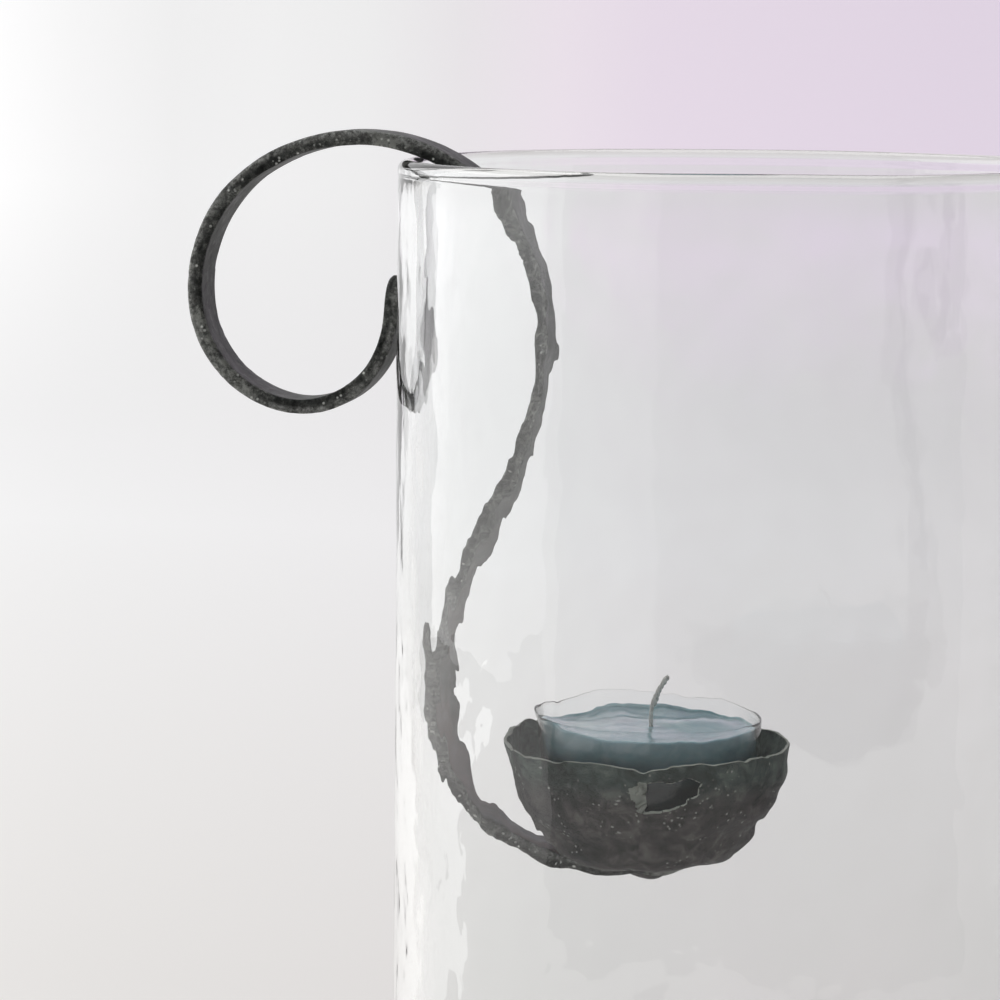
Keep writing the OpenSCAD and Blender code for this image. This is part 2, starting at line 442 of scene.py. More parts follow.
def wick_material():
    s = Shader("wick_cotton")
    s.set(Sheen_Weight=0.3, IOR=1.45)
    colour = s.ramp(s.noise(1800.0, 4.0), (0.3, (0.5, 0.49, 0.47)), (0.7, (0.78, 0.77, 0.74)))
    rough = s.ramp(s.noise(1500.0, 2.0), (0.3, 0.65), (0.7, 0.9))
    return s.finish(colour, rough, s.bump(s.noise(2600.0, 3.0), 0.0001, 0.8))


def tinned_steel_material():
    s = Shader("tinned_steel")
    s.set(Metallic=1.0)
    colour = s.ramp(s.noise(500.0, 4.0), (0.3, (0.5, 0.5, 0.51)), (0.7, (0.7, 0.7, 0.71)))
    streaks = s.noise(1.0, 4.0, vector=s.stretched((2500.0, 150.0, 2500.0)))
    rough = s.ramp(streaks, (0.3, 0.22), (0.7, 0.4))
    return s.finish(colour, rough, s.bump(streaks, 0.00002, 0.5))


# ---------------------------------------------------------------- glass cylinder

GLASS_WALL, GLASS_BASE = 3.5, 8.0
GLASS_HEEL, GLASS_FILLET = 6.0, 3.0       # rounding of the foot, outside and inside
RIM_BEAD = 1.7                            # radius of the rounded rim
RIM_ZONE = 12.0                           # height of the rim, which has no ripples
HOLLOW_EDGE, HOLLOW_RISE = 14.0, 1.2      # hollow underneath: distance in, and height
FLOOR_DIP = 0.4                           # fall of the inner floor towards its middle
BLISTERS, BLISTER_H, BLISTER_CLEAR = 26, 0.11, 20.0    # count, height, room above and below


def glass_profile(radius, height):
    """Half section of the glass, from the middle of its underside up the outside, over
    the rim bead and down to its floor, with the row at which each stretch starts."""
    inner, hollow_r = radius - GLASS_WALL, radius - HOLLOW_EDGE
    under = [(r, HOLLOW_RISE * max(0.0, 1 - (r / hollow_r) ** 2))
             for r in np.linspace(0.0, radius - GLASS_HEEL, 12)]
    under += arc((radius - GLASS_HEEL, GLASS_HEEL), GLASS_HEEL, -80, 0, 8)
    outer = [(radius, z) for z in np.linspace(GLASS_HEEL + 1.2, height - 7.0, 128)]
    # a slight neck, the bead, and the way back to the inner wall
    rim = [(radius - 0.03, height - 5.2), (radius - 0.09, height - 4.2),
           (radius - 0.12, height - 3.2)]
    rim += arc((radius - RIM_BEAD, height - RIM_BEAD), RIM_BEAD, -24, 200, 24)
    rim += [(inner + 0.1, height - 3.0), (inner + 0.05, height - 4.0)]
    fillet_z = GLASS_BASE + GLASS_FILLET
    within = [(inner, z) for z in np.linspace(height - 5.8, fillet_z, 36)]
    floor = arc((inner - GLASS_FILLET, fillet_z), GLASS_FILLET, 0, -90, 6)
    floor += [(r, GLASS_BASE - FLOOR_DIP * (1 - r / inner))
              for r in np.linspace(inner - GLASS_FILLET - 3, 0.0, 9)]
    parts = [under, outer, rim, within, floor]
    starts = np.cumsum([0] + [len(part) for part in parts])
    return np.array(sum(parts, [])), starts


def blisters(at, low, high, radius):
    """Field of round bumps on the wall, a little drawn out upwards, left by bubbles."""
    chance = np.random.default_rng(7)
    drawn_out = (1, 1, 0.4)
    field = np.zeros(len(at))
    for _ in range(BLISTERS):
        turn, z = chance.uniform(0, 2 * math.pi), chance.uniform(low, high)
        spot = (radius * math.cos(turn), radius * math.sin(turn), z)
        size = chance.uniform(0.7, 1.1)
        field += np.exp(-((at - spot) ** 2 * drawn_out).sum(1) / size ** 2)
    return field


def glass_cylinder():
    """Blown glass: rippled and blistered outside, calmer inside, with a wavy rim."""
    low, high = box_mm("glass_cylinder")
    radius, height = (high[0] - low[0]) / 2, high[2]
    profile, starts = glass_profile(radius, height)

    def shape(r, z, angle, row):
        at = on_ring(radius, z, angle)
        ripple = waves(at, (0.042, (3.6, 3.6, 4.6), 11), (0.012, (2.1, 2.1, 3.2), 12),
                       (0.10, (17.0, 17.0, 22.0), 13))
        ripple += BLISTER_H * blisters(at, BLISTER_CLEAR, height - BLISTER_CLEAR, radius)
        inside = waves(at, (0.03, (6.5, 6.5, 11.0), 14))
        rim_wave = waves(at * (1, 1, 0), (0.15, (24.0, 24.0, 1.0), 15))
        calm_rim = 1 - smooth(z, height - RIM_ZONE, height - 7.0)
        share = smooth(z, 1.0, 9.0) * calm_rim
        outer = (row >= starts[1]) & (row < starts[2])
        within = (row >= starts[3]) & (row < starts[4])
        r = r + np.where(outer, ripple * share, 0.0) + np.where(within, inside * share, 0.0)
        return r, z + rim_wave * smooth(z, height - RIM_ZONE, height)

    points, faces = revolve(profile, 440, shape)
    piece = make_mesh("glass_cylinder_look", points, faces)
    place(piece, clear_glass_material(), "glass", "clear_glass", "glass_cylinder")


# ---------------------------------------------------------------- hook strap

# The strap's course from its end under the bowl to its tip, as in the CAD model:
# (radius, turn in degrees), anticlockwise positive seen from -Y, or (0, length).
STRAP_RUN = [(0, 9), (38, -27), (24, -50), (43, -40), (0, 22.5), (42, 56), (29, 26),
             (32, 69), (25, 65), (19.5, 67), (15.5, 86), (20.5, 16), (0, 6.4)]
STRAP_W, STRAP_T = 10.0, 2.6
STRAP_STEP = 0.45                         # spacing of the strap's stations
TIP_TAPER, TIP_NARROWING = 14.0, 3.0      # where the tip narrows, and by how much a side
TIP_THIN, TIP_ROUND = 5.0, 2.0            # where it gets thinner, and where it is round
END_THIN = 3.0                            # where the end under the bowl gets thinner
TIP_T_SHARE, END_T_SHARE = 0.25, 0.45     # share of the thickness left at either end
EDGE_WAVE, EDGE_CHIP = 0.12, 0.3          # depth of waves and chips in the edges
EDGE_CHIP_T, HAMMER_DENT = 0.25, 0.05     # share of the thickness lost in chips and dents


def strap_course(step):
    """Stations (x, z, heading, distance) along the strap, at most step apart. The first
    one is at the far edge of the strap's rounded end."""
    x, z, heading, gone = STRAP_W / 2, 0.0, math.pi, 0.0
    stations = [(x, z, heading, gone)]
    for radius, turn in [(0, STRAP_W / 2)] + STRAP_RUN:
        length = turn if radius == 0 else radius * math.radians(abs(turn))
        count = max(1, math.ceil(length / step))
        bend = 0.0 if radius == 0 else math.radians(turn) / count
        stride = length / count if radius == 0 else 2 * radius * math.sin(abs(bend) / 2)
        for _ in range(count):
            x += stride * math.cos(heading + bend / 2)
            z += stride * math.sin(heading + bend / 2)
            heading += bend
            gone += length / count
            stations.append((x, z, heading, gone))
    return np.array(stations)


def strap_section(count_flat, count_edge):
    """Rounded rectangle from -1 to 1, as (width, thickness), with that many steps along
    its flats and its edges."""
    corner_w, corner_t = 0.15, 0.55
    points = []
    for side_w, side_t, first in ((1, -1, -90), (1, 1, 0), (-1, 1, 90), (-1, -1, 180)):
        for a in np.radians(np.linspace(first, first + 90, 6)):
            points.append((side_w * (1 - corner_w) + corner_w * math.cos(a),
                           side_t * (1 - corner_t) + corner_t * math.sin(a)))
        flat = side_w == side_t
        count = count_flat if flat else count_edge
        start = points[-1]
        stop = (-start[0], start[1]) if flat else (start[0], -start[1])
        for k in range(1, count):
            t = k / count
            points.append((start[0] + (stop[0] - start[0]) * t,
                           start[1] + (stop[1] - start[1]) * t))
    return np.array(points)


def strap_half_sizes(gone):
    """Half width and half thickness of the strap at each distance along it."""
    from_tip = gone[-1] - gone
    half_w = np.full(len(gone), STRAP_W / 2)
    half_w -= TIP_NARROWING * np.clip(1 - from_tip / TIP_TAPER, 0, 1)
    end = gone < STRAP_W / 2
    half_w[end] = np.sqrt(np.maximum((STRAP_W / 2) ** 2 - (STRAP_W / 2 - gone[end]) ** 2, 0.3))
    last = from_tip < TIP_ROUND
    half_w[last] *= np.sqrt(np.maximum(1 - (1 - from_tip[last] / TIP_ROUND) ** 2, 0.1))
    half_t = np.full(len(gone), STRAP_T / 2)
    near = from_tip < TIP_THIN
    rounded = np.sqrt(1 - (1 - from_tip[near] / TIP_THIN) ** 2)
    half_t[near] *= TIP_T_SHARE + (1 - TIP_T_SHARE) * rounded
    half_t[end] *= END_T_SHARE + (1 - END_T_SHARE) * smooth(gone[end], 0.0, END_THIN)
    return half_w, half_t


def hook_strap():
    """The strap swept along its course, with hammer marks and chipped, wavy edges."""
    low, high = box_mm("hook_strap")
    course = strap_course(STRAP_STEP)
    course[:, 0] += low[0] + STRAP_T / 2 - course[:, 0].min()
    course[:, 1] += high[2] - STRAP_T / 2 - course[:, 1].max()
    gone = course[:, 3]
    section = strap_section(16, 6)
    around = len(section)

    half_w, half_t = strap_half_sizes(gone)
    width = np.outer(half_w, section[:, 0]).ravel()
    across = np.outer(half_t, section[:, 1]).ravel()
    heading = np.repeat(course[:, 2], around)
    x = np.repeat(course[:, 0], around)
    z = np.repeat(course[:, 1], around)
    flat_at = np.stack([np.repeat(gone, around), width, across], 1)

    # Hammer marks and chips only take material away, so the strap stays clear of the rest.
    edge = smooth(np.abs(width) / np.repeat(half_w, around), 0.72, 0.99)
    dents = lattice_noise(flat_at, (4.5, 3.5, 30.0), 21)
    chips = np.clip(lattice_noise(flat_at, (0.75, 1.2, 0.75), 22) - 0.3, 0, 1)
    side_wave = lattice_noise(flat_at, (6.0, 40.0, 40.0), 23)
    across *= 1 - HAMMER_DENT * (1 + dents).clip(0, 2)
    lost = EDGE_WAVE * (1 + side_wave).clip(0, 2) + EDGE_CHIP * chips
    width -= np.sign(width) * edge ** 3 * lost
    across *= 1 - EDGE_CHIP_T * edge ** 3 * chips

    points = np.stack([x - across * np.sin(heading), width, z + across * np.cos(heading)], 1)
    ends = [points[:around].mean(0), points[-around:].mean(0)]
    points, faces = tube(points, around, ends)
    piece = make_mesh("hook_strap_look", points, faces)
    add_attribute(piece, "edge", np.append(edge, [1.0, 1.0]))
    # outer marks the outer side of the loop, where the material paints a highlight on the edge
    # faces
    outer = smooth(-np.tile(section[:, 1], len(course)), -0.25, 0.55)
    add_attribute(piece, "outer", np.append(outer, [0.5, 0.5]))
    place(piece, forged_iron_material(), "holder", "forged_iron", "hook_strap")


# ---------------------------------------------------------------- candle bowl

TEAR_ANGLE = math.radians(-75)
TEAR_UP = 15.1            # height of the tear's middle above the foot of the bowl
TEAR_HALF_W, TEAR_HALF_H = 6.1, 2.7
FLAP_W = 2.9              # width of the torn flap that is left at the tear's -X end
BOWL_COLUMNS = 400
BOWL_SHEET = 1.1          # thickness of the sheet
FOLD_DEPTH, DENT_DEPTH = 0.4, 0.16


def bowl_profile(low, height, lip_r):
    """Half section of the bowl's outside, from near its axis to its lip: a flat foot, and
    above its rounding the soft union of that rounding and the arc of the wall."""
    flat_r, foot_round, arc_r, step, sharpness = 12.0, 6.0, height + 1.0, 0.29, 3
    arc_x = lip_r - math.sqrt(arc_r ** 2 - 1)
    points = [(r, low) for r in np.linspace(0.6, flat_r, 12)]
    points += arc((flat_r, low + foot_round), foot_round, -84, -36, 10)
    for up in np.arange(points[-1][1] - low + step, height, step):
        wall = arc_x + math.sqrt(arc_r ** 2 - (arc_r - up) ** 2)
        foot = flat_r + math.sqrt(foot_round ** 2 - max(foot_round - up, 0.0) ** 2)
        union = np.logaddexp(sharpness * wall, sharpness * foot) / sharpness
        points.append((union, low + up))
    return np.array(points + [(lip_r, low + height)])


def tear_reach(u, v):
    """Below 1 inside the tear, at u mm along the wall and v mm up from its middle. It
    rises towards +u, its other end turns up, and its outline is ragged."""
    rise, turned_up = 0.13 * u, -0.45 * np.minimum(u + 3.0, 0.0)
    v = v - rise - turned_up
    lean = np.clip(u / TEAR_HALF_W, -1, 1)
    wide, tall = u / TEAR_HALF_W, v / (TEAR_HALF_H * (1 - 0.16 * lean))
    bearing = np.arctan2(tall, wide)
    ragged_at = np.stack([np.cos(bearing) * 3, np.sin(bearing) * 3, 0 * u], 1)
    outline = 1.0 + 0.14 * lattice_noise(ragged_at, (1.1, 1.1, 1.1), 36)
    outline += 0.07 * lattice_noise(ragged_at, (0.4, 0.4, 0.4), 37)
    power = 2.6 - 0.9 * lean      # blunt at the flap, narrow at the other end
    return (np.abs(wide) ** power + np.abs(tall) ** power) ** (1 / power) / outline


def hammered_wall(profile, foot, height, lip_r):
    """Points of the bowl's outside, row by row, as (r, z, angle, up): folds and dents in
    the wall, an uneven lip that flares. up is 0 at the foot and 1 at the lip."""
    r, z, angle = rings(profile, BOWL_COLUMNS)
    up = (z - foot) / height
    at, lip_at = on_ring(r, z, angle), on_ring(lip_r, 0 * z, angle)

    wall_part = smooth(up, 0.03, 0.2)
    folds = lattice_noise(at, (10.0, 10.0, 1.7), 31) * wall_part * (1 - smooth(up, 0.5, 0.8))
    dents = lattice_noise(at, (3.2, 3.2, 2.6), 32)
    r = r + FOLD_DEPTH * folds + DENT_DEPTH * dents * wall_part - 0.15 * wall_part
    flare = 0.35 + 0.4 * lattice_noise(lip_at, (7.0, 7.0, 7.0), 33)
    r = r + flare * smooth(up, 0.7, 1.0)
    rise = 0.5 * lattice_noise(lip_at, (6.5, 6.5, 6.5), 34)
    nicks = np.minimum(lattice_noise(lip_at, (1.2, 1.2, 1.2), 35) + 0.3, 0.0)
    rise += 0.35 * nicks
    z = z + np.minimum(rise, 0.6) * smooth(up, 0.72, 1.0)
    return r, over_strap(r, z, angle, up, foot), angle, up


def over_strap(r, z, angle, up, foot):
    """Heights with the foot lifted where the strap bends up under it, towards -X."""
    half_w, bend_x = STRAP_W / 2 + 0.5, 7.0
    bend_r = STRAP_RUN[1][0] - STRAP_T / 2
    x, y = r * np.cos(angle), r * np.sin(angle)
    strap_rise = np.clip(-x - bend_x, 0, 9) ** 2 / (2 * bend_r)
    return np.where((np.abs(y) < half_w) & (up < 0.3), np.maximum(z, foot + strap_rise), z)


def tear_open(r, z, angle, rows, foot):
    """Opens the tear. What lies inside its outline is dropped, apart from a flap at its
    left end that is pushed in, and the points round the gap are moved onto the outline.
    Gives the points, their reach, which are on the flap, which are kept, and the faces."""
    side = turned_from(TEAR_ANGLE, angle)
    across, above = side * r, z - foot - TEAR_UP
    reach = tear_reach(across, above)
    flap_end = FLAP_W - TEAR_HALF_W + 0.5 * lattice_noise(
        np.stack([0 * z, 0 * z, z], 1), (1.0, 1.0, 0.6), 38)
    flap = (reach < 1.0) & (across < flap_end)
    faces = []
    kept = np.zeros(len(r), bool)
    border = np.zeros(len(r), bool)
    for face in grid_faces(rows, BOWL_COLUMNS):
        open_corners = sum(reach[k] < 1.0 and not flap[k] for k in face)
        if open_corners >= 3:
            border[list(face)] = True
        else:
            faces.append(face)
            kept[list(face)] = True
    border &= kept & ~flap & (across > FLAP_W - TEAR_HALF_W)
    pull = np.where(border, 1.0 / np.maximum(reach, 0.2), 1.0)
    angle = np.where(border, TEAR_ANGLE + side * pull, angle)
    z = np.where(border, foot + TEAR_UP + above * pull, z)
    r = r - np.where(flap, 0.2 + 0.3 * (across + TEAR_HALF_W).clip(0, 4), 0.0)
    return (r, z, angle), reach, flap, kept, faces


def candle_bowl():
    """Thin hammered bowl with an uneven lip and a torn opening."""
    low, high = box_mm("candle_bowl")
    centre = (low[:2] + high[:2]) / 2
    lip_r, height, foot = (high[0] - low[0]) / 2, high[2] - low[2], low[2]
    profile = bowl_profile(foot, height, lip_r)
    r, z, angle, up = hammered_wall(profile, foot, height, lip_r)
    spots, reach, flap, kept, faces = tear_open(r, z, angle, len(profile), foot)
    r, z, angle = spots

    points = on_ring(r, z, angle, centre)
    torn = np.where(flap, 1.0, 1 - smooth(reach, 1.0, 1.04))
    torn = np.maximum(torn, up > 0.995)
    thinner_lip = 1 - 0.5 * smooth(up, 0.75, 1.0)
    thinner_tear = 1 - 0.65 * (1 - smooth(reach, 1.0, 1.7))
    faces.append(tuple(reversed(range(BOWL_COLUMNS))))
    index = np.cumsum(kept) - 1
    faces = [tuple(int(index[k]) for k in face) for face in faces]
    piece = make_mesh("candle_bowl_look", points[kept], faces, outward=False)
    add_attribute(piece, "lip", smooth(up, 0.6, 1.0)[kept])
    add_attribute(piece, "torn", torn[kept])
    thicken(piece, (thinner_lip * thinner_tear)[kept])

    # The inner wall is what faces a point above the middle of the lip.
    vertices = piece.data.vertices
    normals = np.array([v.normal for v in vertices])
    outwards = np.array([v.co for v in vertices]) / MM - (*centre, foot + height + 1.0)
    add_attribute(piece, "inside", 1 - smooth((outwards * normals).sum(1), -3.0, 3.0))
    place(piece, hammered_iron_material(), "holder", "hammered_iron", "candle_bowl")


def thicken(piece, share):
    """Gives the bowl's sheet its thickness, inwards, in each point's share, and marks its
    cut edges and what is torn in the attribute bare."""
    bm = bmesh.new()
    bm.from_mesh(piece.data)
    bmesh.ops.recalc_face_normals(bm, faces=bm.faces)
    foot = min(bm.faces, key=lambda f: f.calc_center_median().z)
    if foot.normal.z > 0:     # the bowl is open, so its faces may have turned inwards
        bmesh.ops.reverse_faces(bm, faces=bm.faces)
    bm.to_mesh(piece.data)
    bm.free()
    full = piece.vertex_groups.new(name="full")
    for k, part in enumerate(share):
        full.add([k], float(part), "REPLACE")
    rim = piece.vertex_groups.new(name="rim")
    wall = piece.modifiers.new("wall", "SOLIDIFY")
    wall.thickness = BOWL_SHEET * MM
    wall.offset = -1.0
    wall.vertex_group = full.name
    wall.rim_vertex_group = rim.name
    applied = bpy.data.meshes.new_from_object(
        piece.evaluated_get(bpy.context.evaluated_depsgraph_get()))
    piece.modifiers.clear()
    piece.data = applied
    cut_edge = np.zeros(len(applied.vertices))
    for k, vertex in enumerate(applied.vertices):
        for member in vertex.groups:
            if member.group == rim.index:
                cut_edge[k] = member.weight
    torn = np.empty(len(applied.vertices), np.float32)
    applied.attributes["torn"].data.foreach_get("value", torn)
    add_attribute(piece, "bare", np.maximum(cut_edge, torn))
    piece.vertex_groups.clear()
    for polygon in applied.polygons:
        polygon.use_smooth = True


# ---------------------------------------------------------------- rivet

RIVET_HEAD_H, RIVET_SHANK_R = 1.4, 2.0
HAMMERED_OFF = 0.05       # share of the head's radius that the hammer took away at most


def bowl_rivet():
    """Rivet with a low dome at either end of its shank, a little hammered."""
    low, high = box_mm("bowl_rivet")
    centre = (low[:2] + high[:2]) / 2
    head_r, head_h = (high[0] - low[0]) / 2, RIVET_HEAD_H
    profile = []
    for a in np.radians(np.linspace(-90, 0, 12)):
        profile.append((head_r * math.cos(a), low[2] + head_h + head_h * math.sin(a)))
    profile += [(head_r - 0.3, low[2] + head_h), (RIVET_SHANK_R, low[2] + head_h)]
    profile += [(RIVET_SHANK_R, high[2] - head_h), (head_r - 0.3, high[2] - head_h)]
    for a in np.radians(np.linspace(0, 90, 12)):
        profile.append((head_r * math.cos(a), high[2] - head_h + head_h * math.sin(a)))
    profile[0] = (0.0, profile[0][1])
    profile[-1] = (0.0, profile[-1][1])

    def shape(r, z, angle, row):
        marks = lattice_noise(on_ring(r, z, angle), (1.6, 1.6, 1.2), 41).clip(0, 1)
        head = smooth(r, 0.0, 1.0) * (r > RIVET_SHANK_R + 0.1)
        return r * (1 - HAMMERED_OFF * marks * head), z

    points, faces = revolve(profile, 96, shape, centre)
    piece = make_mesh("bowl_rivet_look", points, faces)
    place(piece, rivet_iron_material(), "holder", "rivet_iron", "bowl_rivet")


# ---------------------------------------------------------------- tealight

CUP_WALL, CUP_CORNER, CUP_INNER_CORNER = 0.4, 1.2, 0.8
CUP_RIM_R = 0.07                          # the wall ends in a thin rounded rim
CUP_RECESS = 0.2                          # height of the recess underneath
CUP_WAVE, CUP_WAVE_MOST = 0.05, 0.03      # depth of the waves, and most that they stand out
WAX_CORNER, WAX_LIP_R = 1.0, 0.35
FOOT_RECESS_R, FOOT_RECESS_H = 8.3, 0.6   # room for the wick foot under the wax
WAX_CLIMB_ANGLE = math.radians(-152)      # where the wax has set higher up the cup
WAX_CLIMB, WAX_CLIMB_SPREAD = 1.1, 0.45   # height, and width in radians


def tealight_cup():
    """Clear cup with a slightly wavy wall that thins out to its rim."""
    low, high = box_mm("tealight_cup")
    centre, foot, top = (low[:2] + high[:2]) / 2, low[2], high[2]
    radius = (high[0] - low[0]) / 2
    inner, floor = radius - CUP_WALL, foot + CUP_WALL
    profile = [(0.0, foot + CUP_RECESS + 0.05), (radius * 0.4, foot + CUP_RECESS),
               (radius - 4, foot + CUP_RECESS), (radius - 3, foot)]
    profile += arc((radius - CUP_CORNER, foot + CUP_CORNER), CUP_CORNER, -90, 0, 8)
    profile += [(radius, z) for z in np.linspace(foot + 3, top - 0.6, 8)]
    profile += arc((radius - CUP_RIM_R, top - CUP_RIM_R), CUP_RIM_R, 0, 180, 7)
    profile += [(radius - 2 * CUP_RIM_R, top - 0.6), (radius - CUP_WALL / 2, top - 1.5)]
    profile += [(inner, z) for z in np.linspace(top - 3, foot + 2, 8)]
    corner = CUP_INNER_CORNER
    profile += arc((inner - corner, floor + corner), corner, 0, -90, 6)
    profile += [(inner * 0.5, floor), (0.0, floor)]

    def shape(r, z, angle, row):
        wave = waves(on_ring(radius, z, angle), (CUP_WAVE, (7.0, 7.0, 12.0), 51))
        return r + np.minimum(wave * smooth(r, 10, 18), CUP_WAVE_MOST), z

    points, faces = revolve(profile, 180, shape, centre)
    piece = make_mesh("tealight_cup_look", points, faces)
    place(piece, clear_cup_material(), "tealight", "clear_cup", "tealight_cup")


def wax():
    """Wax with an uneven top, sunk round the wick, that has set higher at one side."""
    low, high = box_mm("wax")
    centre = (low[:2] + high[:2]) / 2
    radius = (high[0] - low[0]) / 2
    foot, top = low[2] + 0.1, high[2]
    profile = [(0.0, low[2] + FOOT_RECESS_H), (FOOT_RECESS_R - 0.1, low[2] + FOOT_RECESS_H),
               (FOOT_RECESS_R, foot)]
    profile += arc((radius - WAX_CORNER, foot + WAX_CORNER), WAX_CORNER, -90, 0, 6)
    profile += [(radius, z) for z in np.linspace(low[2] + 2, top - 0.6, 14)]
    # the wax creeps up the cup by its edge, and falls away to a flat top
    profile += arc((radius - WAX_LIP_R, top + 0.15), WAX_LIP_R, 0, 120, 6)
    profile += [(radius - 2 * WAX_LIP_R - 0.3 * k, top + 0.25 * math.exp(-k / 1.5))
                for k in range(6)]
    profile += [(r, top) for r in np.linspace(radius - 3.0, 1.0, 22)]
    profile += [(0.9, top), (0.0, top - 0.05)]

    def shape(r, z, angle, row):
        swell = waves(on_ring(r, 0 * z, angle), (0.38, (6.0, 6.0, 6.0), 61),
                      (0.07, (2.0, 2.0, 2.0), 62))
        pool, wick_cone = -0.5 * np.exp(-(r / 4.0) ** 2), 0.35 * np.exp(-(r / 1.6) ** 2)
        turned = turned_from(WAX_CLIMB_ANGLE, angle)
        climb = WAX_CLIMB * np.exp(-(turned / WAX_CLIMB_SPREAD) ** 2)
        climb *= smooth(r, radius - 4.0, radius - 1.0)
        return r, z + smooth(z, top - 2.0, top) * (swell + (pool + wick_cone) + climb)

    points, faces = revolve(profile, 180, shape, centre)
    piece = make_mesh("wax_look", points, faces)
    place(piece, wax_material(), "tealight", "candle_wax", "wax")


WICK_BEND_UP, WICK_BEND_R = 1.0, 10.0     # start of the bend above the wax, its radius
WICK_LEAN, WICK_END = math.radians(38), 2.3       # as in the CAD model
STRANDS, STRAND_R, STRAND_OUT, STRAND_PITCH = 3, 0.26, 0.2, 2.8
STRAND_TAPER = 0.6


def wick_line():
    """Centre line of the wick: straight up, a bend towards +X and a straight end."""
    low, high = box_mm("wick")
    thick = high[1] - low[1]
    start = np.array([low[0] + thick / 2, (low[1] + high[1]) / 2, low[2]])
    bend_z = box_mm("wax")[1][2] + WICK_BEND_UP
    line = [start + (0, 0, h) for h in np.linspace(0, bend_z - start[2], 40)]
    for a in np.linspace(0, WICK_LEAN, 20)[1:]:
        line.append(np.array([start[0] + WICK_BEND_R * (1 - math.cos(a)), start[1],
                              bend_z + WICK_BEND_R * math.sin(a)]))
    way = np.array([math.sin(WICK_LEAN), 0.0, math.cos(WICK_LEAN)])
    stop = line[-1]
    line += [stop + way * d for d in np.linspace(0, WICK_END, 8)[1:]]
    return np.array(line)


def wick():
    """Cotton wick: strands twisted round a bent centre line."""
    line = wick_line()
    along = np.gradient(line, axis=0)
    along /= np.linalg.norm(along, axis=1)[:, None]
    side = np.array([0.0, 1.0, 0.0])
    normal = np.cross(along, side)
    gone = np.append(0, np.cumsum(np.linalg.norm(np.diff(line, axis=0), axis=1)))
    fine = np.linspace(0, gone[-1], 160)
    middle = np.stack([np.interp(fine, gone, line[:, k]) for k in range(3)], 1)
    normal = np.stack([np.interp(fine, gone, normal[:, k]) for k in range(3)], 1)
    taper = np.clip((gone[-1] - fine) / STRAND_TAPER, 0.05, 1) ** 0.5
    around = 10
    points, faces = [], []
    for strand in range(STRANDS):
        twist = strand * 2 * math.pi / STRANDS + fine / STRAND_PITCH * 2 * math.pi
        axis = normal * np.cos(twist)[:, None] + side * np.sin(twist)[:, None]
        strand_middle = middle + axis * STRAND_OUT
        first = len(points)
        for k in range(len(fine)):
            for a in np.linspace(0, 2 * math.pi, around, endpoint=False):
                out = normal[k] * math.cos(a) + side * math.sin(a)
                points.append(strand_middle[k] + out * STRAND_R * taper[k])
        faces += grid_faces(len(fine), around, first)
        faces.append(tuple(range(first, first + around)))
        final = first + (len(fine) - 1) * around
        faces.append(tuple(range(final, final + around)))
    piece = make_mesh("wick_look", np.array(points), faces)
    place(piece, wick_material(), "tealight", "wick_cotton", "wick")


def wick_foot():
    """The CAD shape is right as it is: it only gets its metal."""
    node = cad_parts["wick_foot"]
    node.data.materials.clear()
    node.data.materials.append(tinned_steel_material())


# ---------------------------------------------------------------- studio

# This section is in metres.
SET_FRONT = (0.08, -0.656)                # where the directions of the glow are counted from
STUDIO_R, STUDIO_CORNER, STUDIO_TOP = 2.1, 0.7, 1.9
STUDIO_COLUMNS = 128
FRONT_FROM, FRONT_TO = 215, 345           # bearings of the front part, in degrees
FRONT_R = 0.36                            # radius at which the front part begins
CAMERA_AT = (0.0805, -0.6562, 0.2236)
CAMERA_TURN, CAMERA_DOWN, CAMERA_ROLL = 10.66, 7.05, 0.44     # degrees
# Glow of the studio wall by direction in degrees, anticlockwise from +X: a bright
# window side on the left, a dim room in front and on the right, lilac at the back.
# Plain numbers are greys.
WALL_GLOW = [
    (-180, 0.85), (-130, 0.7), (-90, 0.6), (0, 0.5),
    (60, (0.45, 0.43, 0.45)), (94, (0.57, 0.49, 0.59)),
    (98.4, (0.61, 0.53, 0.62)), (100.4, (0.66, 0.6, 0.65)),
    (101.8, 0.61), (103, 0.7), (106.4, 0.69), (107.6, 0.85), (112, 0.78), (150, 0.9)]
FLOOR_GLOW = [
    (-180, 0.6), (-90, (0.5, 0.49, 0.49)),
    (0, (0.42, 0.41, 0.41)), (80, (0.4, 0.385, 0.395)),
    (94, (0.52, 0.5, 0.515)), (98.4, (0.555, 0.54, 0.555)),
    (101.8, (0.61, 0.605, 0.61)), (106.6, 0.65), (110, 0.71), (125, 0.71), (160, 0.67)]
NEAR_FLOOR = (0.76, 0.735, 0.71)          # share of the floor's glow by the object


def glow_ramp(s, direction, stops):
    """Colours by a direction that runs from 0 at -180 degrees to 1 at 180."""
    return s.ramp(direction, *[(angle / 360 + 0.5, colour) for angle, colour in stops])


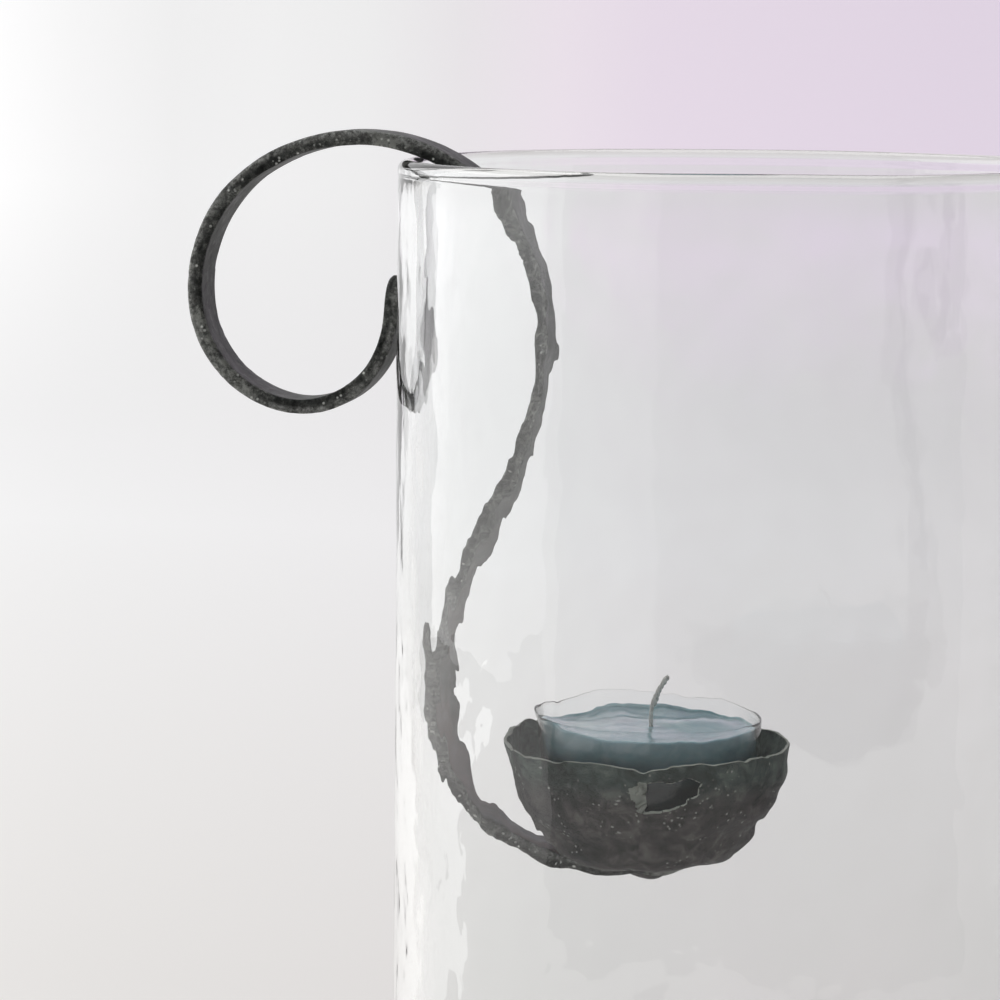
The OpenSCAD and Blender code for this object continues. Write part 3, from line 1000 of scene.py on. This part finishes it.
def studio():
    """Pale floor that curves up into a round wall, like a light tent. Its front part,
    which only other views see, gives no light and no reflection, as in a dim room."""
    flat_r = STUDIO_R - STUDIO_CORNER
    profile = [(r, 0.0) for r in (0.02, 0.2, 0.35, 0.8, flat_r)]
    profile += arc((flat_r, STUDIO_CORNER), STUDIO_CORNER, -85, 0, 16)
    profile += [(STUDIO_R, z) for z in np.linspace(STUDIO_CORNER + 0.2, STUDIO_TOP, 4)]
    r, z, angle = rings(profile, STUDIO_COLUMNS)
    points = on_ring(r, z, angle) / MM
    near, front = [tuple(reversed(range(STUDIO_COLUMNS)))], []
    for face in grid_faces(len(profile), STUDIO_COLUMNS):
        bearing = math.degrees(angle[face[0]])
        in_front = FRONT_FROM < bearing < FRONT_TO and r[face[2]] > FRONT_R
        (front if in_front else near).append(face)
    material = studio_paper()
    for name, faces in (("studio_cove", near), ("studio_front", front)):
        part = make_mesh(name, points, faces, outward=False)
        part.data.materials.append(material)
        part.visible_glossy = part.visible_diffuse = name == "studio_cove"


def studio_paper():
    """Paper that glows by direction, and on the floor less towards the object."""
    s = Shader("studio_paper")
    s.set(Roughness=0.9, Specular_IOR_Level=0.0, Base_Color=(0.36, 0.36, 0.36, 1.0),
          Emission_Strength=1.0)
    moved = s.add("ShaderNodeMapping")
    moved.inputs["Location"].default_value = (-SET_FRONT[0], -SET_FRONT[1], 0.0)
    s.link(s.place, moved.inputs["Vector"])
    gradient = s.add("ShaderNodeTexGradient", gradient_type="RADIAL")
    s.link(moved.outputs["Vector"], gradient.inputs["Vector"])
    direction = gradient.outputs["Fac"]
    height = s.ramp(s.axis("Z"), (0.005, 0.0), (0.12, 1.0))
    away = s.ramp(s.axis("Y"), (0.2, NEAR_FLOOR), (1.1, 1.0))
    floor = s.mix(1.0, glow_ramp(s, direction, FLOOR_GLOW), away, "MULTIPLY")
    glow = s.mix(height, floor, glow_ramp(s, direction, WALL_GLOW))
    s.link(glow, s.bsdf.inputs["Emission Color"])
    s.material.cycles.emission_sampling = "NONE"
    return s.material


def soft_light(name, where, target, size, radiance):
    """A softbox that lights and shows in reflections, but not to the camera or through
    the glass."""
    lamp = bpy.data.lights.new(name, "AREA")
    lamp.shape = "RECTANGLE"
    lamp.size, lamp.size_y = size
    lamp.energy = radiance * math.pi * size[0] * size[1]
    rig = bpy.data.objects.new(name, lamp)
    rig.location = where
    rig.rotation_mode = "QUATERNION"
    rig.rotation_quaternion = (Vector(where) - Vector(target)).to_track_quat("Z", "Y")
    rig.visible_camera = rig.visible_transmission = False
    bpy.context.scene.collection.objects.link(rig)
    return rig


def floor_card():
    """White card on the floor, left of the camera's view, which only shows through the
    glass: it whitens the low left side of the glass."""
    middle = (-0.269, 0.341, 0.002)
    card = soft_light("card", middle, middle, (0.22, 0.5), 0.17)
    card.rotation_mode = "XYZ"
    card.rotation_euler = (math.pi, 0.0, math.radians(13.3))
    card.visible_transmission = True
    card.visible_diffuse = card.visible_glossy = False


def lights():
    # name, place, target, size and radiance
    soft_light("window", (-0.76, -0.07, 0.42), (0, 0, 0.42), (0.75, 0.84), 1.25)
    soft_light("fill", (-0.39, -0.48, 0.3), (0, 0, 0.3), (0.42, 0.59), 0.52)
    soft_light("top", (-0.1, 0.35, 1.3), (0, 0, 0.12), (1.0, 1.0), 2.2)
    floor_card()
    world = bpy.data.worlds.new("studio_sky")
    world.use_nodes = True
    world.node_tree.nodes["Background"].inputs["Color"].default_value = (0.06, 0.06, 0.06, 1)
    bpy.context.scene.world = world


def camera():
    """A long lens at the photo's angle."""
    turn, down, roll = np.radians((CAMERA_TURN, CAMERA_DOWN, CAMERA_ROLL))
    lens = bpy.data.cameras.new("camera")
    lens.sensor_width = 36.0
    lens.lens = 140.3
    lens.clip_start, lens.clip_end = 0.05, 20.0
    rig = bpy.data.objects.new("camera", lens)
    aim = Matrix.Rotation(turn, 4, "Z") @ Matrix.Rotation(math.pi / 2 - down, 4, "X")
    rig.matrix_world = Matrix.Translation(CAMERA_AT) @ aim @ Matrix.Rotation(roll, 4, "Z")
    bpy.context.scene.collection.objects.link(rig)
    bpy.context.scene.camera = rig


def render_settings():
    scene = bpy.context.scene
    scene.view_settings.view_transform = "Standard"
    scene.cycles.use_denoising = True
    scene.cycles.max_bounces = 24
    scene.cycles.transmission_bounces = 24
    scene.cycles.glossy_bounces = 12
    scene.cycles.diffuse_bounces = 6
    scene.cycles.sample_clamp_indirect = 8.0


camera()
render_settings()
glass_cylinder()
hook_strap()
candle_bowl()
bowl_rivet()
tealight_cup()
wax()
wick()
wick_foot()
studio()
lights()
